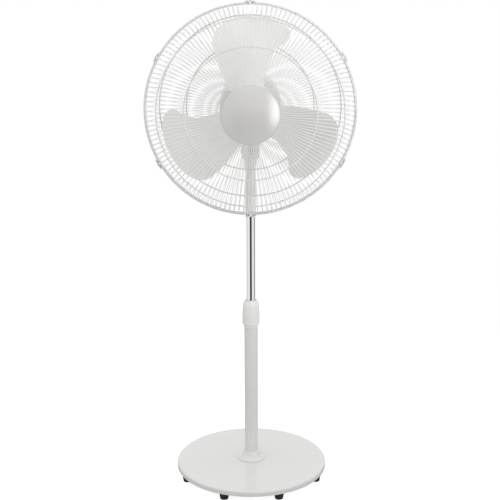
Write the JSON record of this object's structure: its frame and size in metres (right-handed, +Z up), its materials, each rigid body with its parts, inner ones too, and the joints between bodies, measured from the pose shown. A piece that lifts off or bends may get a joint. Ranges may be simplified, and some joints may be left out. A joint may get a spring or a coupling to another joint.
{
  "type": "pedestal fan",
  "caption": "Pedestal fan with a round weighted base, telescopic pole, and a tilting, oscillating head with wire guards.",
  "frame": {"origin": "on the floor under the pole's axis", "axes": "+Z up along the pole; the head blows towards -Y; +X to the right seen from the front"},
  "size_m": [0.496, 0.3947, 1.2164],
  "materials": {
    "white_paint": "semi gloss powder coat",
    "white_plastic": "smooth moulded plastic",
    "blade_plastic": "smooth moulded plastic",
    "guard_wire": "powder coated wire",
    "chrome": "polished",
    "zinc_steel": "zinc plated",
    "cast_metal": "as cast",
    "ballast_iron": "as cast",
    "bearing_bronze": "sintered",
    "copper_winding": "varnished",
    "lamination": "stacked sheet",
    "black_rubber": "matte",
    "black_plastic": "fine texture",
    "pale_nylon": "natural"
  },
  "bodies": {
    "stand": {"base_cover": "white_paint", "base_plate": "zinc_steel", "ballast": "ballast_iron", "base_feet": "black_rubber", "base_bolt": "zinc_steel", "tube_flange": "white_paint", "lower_tube": "white_paint", "tube_plug": "zinc_steel", "guide_bush": "pale_nylon", "grip_ring": "pale_nylon"},
    "collar": {"height_collar": "white_plastic"},
    "pole": {"chrome_pole": "chrome", "pole_slider": "pale_nylon", "neck": "white_plastic", "neck_screw": "zinc_steel", "tilt_bolt": "zinc_steel", "tilt_nut": "zinc_steel"},
    "knuckle": {"tilt_knuckle": "white_paint", "pan_bush": "bearing_bronze", "thrust_spacer": "bearing_bronze"},
    "link": {"link_arm": "zinc_steel"},
    "head": {"pan_shaft": "zinc_steel", "gearbox_case": "cast_metal", "motor_front_bracket": "cast_metal", "motor_rear_bracket": "cast_metal", "shaft_bearings": "bearing_bronze", "stator_core": "lamination", "stator_coils": "copper_winding", "motor_bolts": "zinc_steel", "motor_shroud": "white_paint", "rear_cover": "white_paint", "cover_screws": "zinc_steel", "speed_switch": "black_plastic", "run_capacitor": "black_plastic", "cable_gland": "black_plastic", "rear_guard_wires": "guard_wire", "rear_guard_rings": "guard_wire", "rear_guard_plate": "guard_wire", "guard_nut": "white_plastic", "front_guard_wires": "guard_wire", "front_guard_rings": "guard_wire", "cap_plate": "guard_wire", "badge_cap": "white_plastic"},
    "crank": {"crank_disc": "zinc_steel"},
    "rotor": {"rotor_cage": "lamination", "motor_shaft": "zinc_steel", "blade": "blade_plastic", "drive_pin": "zinc_steel", "blade_nut": "blade_plastic"},
    "wheel": {"worm_wheel": "pale_nylon"},
    "oscillation_knob": {"osc_knob": "white_plastic"},
    "speed_dial": {"speed_knob": "white_plastic"},
    "clip_1": {"guard_clip_1": "white_plastic"},
    "clip_2": {"guard_clip_2": "white_plastic"},
    "clip_3": {"guard_clip_3": "white_plastic"},
    "clip_4": {"guard_clip_4": "white_plastic"},
    "clip_5": {"guard_clip_5": "white_plastic"},
    "clip_6": {"guard_clip_6": "white_plastic"}
  },
  "joints": [
    {"name": "height_slide", "type": "slide", "parent": "stand", "child": "pole", "axis": [0, 0, 1], "range_m": [-0.19, 0.04]},
    {"name": "collar_turn", "type": "hinge", "parent": "stand", "child": "collar", "pos_m": [0, 0, 0.43], "axis": [0, 0, 1], "range_deg": [-180, 0]},
    {"name": "tilt", "type": "hinge", "parent": "pole", "child": "knuckle", "pos_m": [0, 0, 0.864], "axis": [-1, 0, 0], "range_deg": [-12, 25]},
    {"name": "pan", "type": "hinge", "parent": "knuckle", "child": "head", "pos_m": [0, 0.02, 0.8906], "axis": [0, 0, 1], "range_deg": [-36, 36]},
    {"name": "link_swing", "type": "hinge", "parent": "knuckle", "child": "link", "pos_m": [0.02, 0.02, 0.8871], "axis": [0, 0, 1], "range_deg": [-40, 40]},
    {"name": "crank_turn", "type": "hinge", "parent": "head", "child": "crank", "pos_m": [0, 0.062, 0.8906], "axis": [0, 0, 1], "range_deg": [-80, 80]},
    {"name": "blade_spin", "type": "hinge", "parent": "head", "child": "rotor", "pos_m": [0, -0.118, 0.965], "axis": [0, 1, 0], "continuous": true},
    {"name": "worm_wheel_spin", "type": "hinge", "parent": "head", "child": "wheel", "pos_m": [0.0145, 0.06685, 0.965], "axis": [0, 0, 1], "continuous": true},
    {"name": "oscillation_pull", "type": "slide", "parent": "head", "child": "oscillation_knob", "axis": [0, 0, 1], "range_m": [-0.007, 0]},
    {"name": "speed_turn", "type": "hinge", "parent": "head", "child": "speed_dial", "pos_m": [0, 0.09685, 0.983], "axis": [0, -1, 0], "range_deg": [0, 135]},
    {"name": "clip_1_open", "type": "hinge", "parent": "head", "child": "clip_1", "pos_m": [0.21218, -0.1148, 1.0875], "axis": [-0.5, 0, 0.866], "range_deg": [0, 65]},
    {"name": "clip_2_open", "type": "hinge", "parent": "head", "child": "clip_2", "pos_m": [0, -0.1148, 1.21], "axis": [-1, 0, 0], "range_deg": [0, 65]},
    {"name": "clip_3_open", "type": "hinge", "parent": "head", "child": "clip_3", "pos_m": [-0.21218, -0.1148, 1.0875], "axis": [-0.5, 0, -0.866], "range_deg": [0, 65]},
    {"name": "clip_4_open", "type": "hinge", "parent": "head", "child": "clip_4", "pos_m": [-0.21218, -0.1148, 0.8425], "axis": [0.5, 0, -0.866], "range_deg": [0, 65]},
    {"name": "clip_5_open", "type": "hinge", "parent": "head", "child": "clip_5", "pos_m": [0, -0.1148, 0.72], "axis": [1, 0, 0], "range_deg": [0, 65]},
    {"name": "clip_6_open", "type": "hinge", "parent": "head", "child": "clip_6", "pos_m": [0.21218, -0.1148, 0.8425], "axis": [0.5, 0, 0.866], "range_deg": [0, 65]}
  ],
  "couplings": [
    {"joint": "link_swing", "follows": "pan", "ratio": 0.79},
    {"joint": "crank_turn", "follows": "pan", "ratio": -1.587},
    {"joint": "worm_wheel_spin", "follows": "blade_spin", "ratio": 0.041667}
  ]
}
